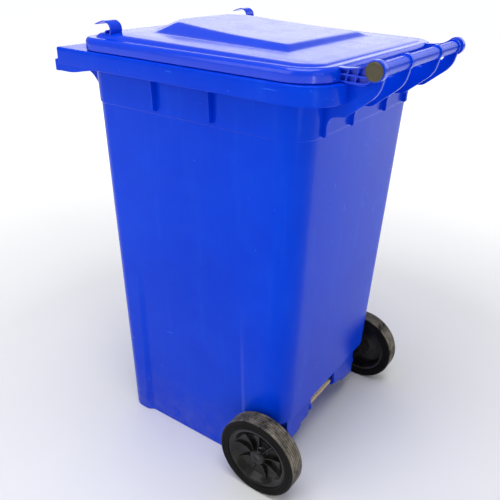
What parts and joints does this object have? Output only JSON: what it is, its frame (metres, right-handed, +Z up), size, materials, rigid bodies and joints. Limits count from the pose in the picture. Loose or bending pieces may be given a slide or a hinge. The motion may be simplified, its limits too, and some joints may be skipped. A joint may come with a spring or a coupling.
{
  "type": "wheelie bin",
  "caption": "Tall tapered refuse bin with a hinged lid, curled lid handles, a rear handle bar and two rubber-tyred wheels on an axle.",
  "frame": {"origin": "centre of the overall box in X and Y, at ground level", "axes": "+Z up, +X to the right seen from behind the front wall, -Y the front with the lifting lip, +Y the handle bar; the bin is symmetric about X = 0"},
  "size_m": [0.586, 0.729, 1.0258],
  "materials": {
    "blue_plastic": "glossy moulded polyethylene, bright blue, a little scuffed",
    "black_plastic": "glossy moulded black plastic",
    "pin_plastic": "matt olive-grey plastic",
    "tyre_rubber": "solid black rubber with a dusty tread",
    "zinc_steel": "zinc-plated steel, dulled",
    "spring_steel": "bright drawn spring wire"
  },
  "bodies": {
    "bin": {"tub": "blue_plastic", "hinge_pin_left": "pin_plastic", "hinge_pin_right": "pin_plastic", "axle": "zinc_steel", "spacer_left": "black_plastic", "spacer_right": "black_plastic"},
    "lid": {"lid": "blue_plastic"},
    "wheel_left": {"wheel_rim_left": "black_plastic", "tyre_left": "tyre_rubber", "lock_spring_left": "spring_steel"},
    "wheel_right": {"wheel_rim_right": "black_plastic", "tyre_right": "tyre_rubber", "lock_spring_right": "spring_steel"},
    "lock_left": {"lock_pin_left": "zinc_steel"},
    "lock_right": {"lock_pin_right": "zinc_steel"}
  },
  "joints": [
    {"name": "lid_hinge", "type": "hinge", "parent": "bin", "child": "lid", "pos_m": [0, 0.346, 0.9915], "axis": [-1, 0, 0], "range_deg": [0, 270]},
    {"name": "wheel_left_spin", "type": "hinge", "parent": "bin", "child": "wheel_left", "pos_m": [-0.27, 0.1835, 0.102], "axis": [1, 0, 0], "continuous": true},
    {"name": "wheel_right_spin", "type": "hinge", "parent": "bin", "child": "wheel_right", "pos_m": [0.27, 0.1835, 0.102], "axis": [1, 0, 0], "continuous": true},
    {"name": "lock_left_release", "type": "slide", "parent": "wheel_left", "child": "lock_left", "axis": [0, 0, 1], "range_m": [0, 0.003], "stiffness_N_per_m": 500, "springref_m": -0.004, "deforming": ["lock_spring_left"]},
    {"name": "lock_right_release", "type": "slide", "parent": "wheel_right", "child": "lock_right", "axis": [0, 0, 1], "range_m": [0, 0.003], "stiffness_N_per_m": 500, "springref_m": -0.004, "deforming": ["lock_spring_right"]}
  ]
}
